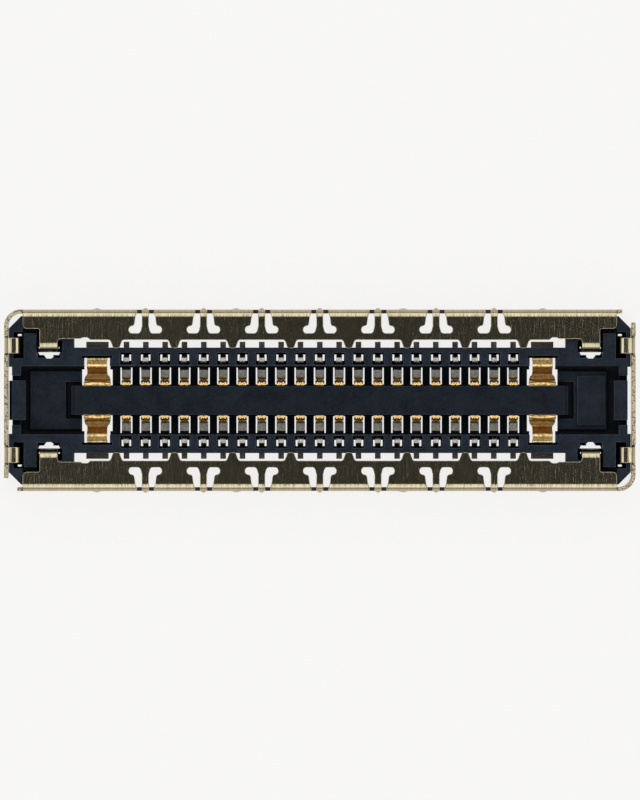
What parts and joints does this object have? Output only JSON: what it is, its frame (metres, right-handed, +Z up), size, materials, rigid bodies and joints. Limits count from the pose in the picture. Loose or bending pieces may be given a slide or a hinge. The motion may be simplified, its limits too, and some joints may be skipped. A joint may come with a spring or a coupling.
{
  "type": "fpc connector",
  "caption": "Low-profile shielded board connector receptacle with two stamped shell halves, rows of spring contacts beside a central island, and power contacts at the ends.",
  "frame": {"origin": "middle of the footprint, on the board's surface", "axes": "+X along the rows of contacts, +Y across them towards the rear row, +Z up from the board towards the mating side"},
  "size_m": [0.0114, 0.0034, 0.0007],
  "materials": {
    "moulding": "satin black moulded plastic",
    "shell_plating": "plated sheet, finely brushed across",
    "signal_contact_plating": "plated strip with gilded head",
    "power_contact_plating": "gilded strip"
  },
  "bodies": {
    "root": {"housing": "moulding", "power_contact_front_left": "power_contact_plating", "power_contact_front_right": "power_contact_plating", "power_contact_rear_left": "power_contact_plating", "power_contact_rear_right": "power_contact_plating", "shell_half_front_right": "shell_plating", "shell_half_rear_left": "shell_plating", "signal_contact_front_01": "signal_contact_plating", "signal_contact_front_02": "signal_contact_plating", "signal_contact_front_03": "signal_contact_plating", "signal_contact_front_04": "signal_contact_plating", "signal_contact_front_05": "signal_contact_plating", "signal_contact_front_06": "signal_contact_plating", "signal_contact_front_07": "signal_contact_plating", "signal_contact_front_08": "signal_contact_plating", "signal_contact_front_09": "signal_contact_plating", "signal_contact_front_10": "signal_contact_plating", "signal_contact_front_11": "signal_contact_plating", "signal_contact_front_12": "signal_contact_plating", "signal_contact_front_13": "signal_contact_plating", "signal_contact_front_14": "signal_contact_plating", "signal_contact_front_15": "signal_contact_plating", "signal_contact_front_16": "signal_contact_plating", "signal_contact_front_17": "signal_contact_plating", "signal_contact_front_18": "signal_contact_plating", "signal_contact_front_19": "signal_contact_plating", "signal_contact_front_20": "signal_contact_plating", "signal_contact_front_21": "signal_contact_plating", "signal_contact_rear_01": "signal_contact_plating", "signal_contact_rear_02": "signal_contact_plating", "signal_contact_rear_03": "signal_contact_plating", "signal_contact_rear_04": "signal_contact_plating", "signal_contact_rear_05": "signal_contact_plating", "signal_contact_rear_06": "signal_contact_plating", "signal_contact_rear_07": "signal_contact_plating", "signal_contact_rear_08": "signal_contact_plating", "signal_contact_rear_09": "signal_contact_plating", "signal_contact_rear_10": "signal_contact_plating", "signal_contact_rear_11": "signal_contact_plating", "signal_contact_rear_12": "signal_contact_plating", "signal_contact_rear_13": "signal_contact_plating", "signal_contact_rear_14": "signal_contact_plating", "signal_contact_rear_15": "signal_contact_plating", "signal_contact_rear_16": "signal_contact_plating", "signal_contact_rear_17": "signal_contact_plating", "signal_contact_rear_18": "signal_contact_plating", "signal_contact_rear_19": "signal_contact_plating", "signal_contact_rear_20": "signal_contact_plating", "signal_contact_rear_21": "signal_contact_plating"}
  },
  "joints": []
}
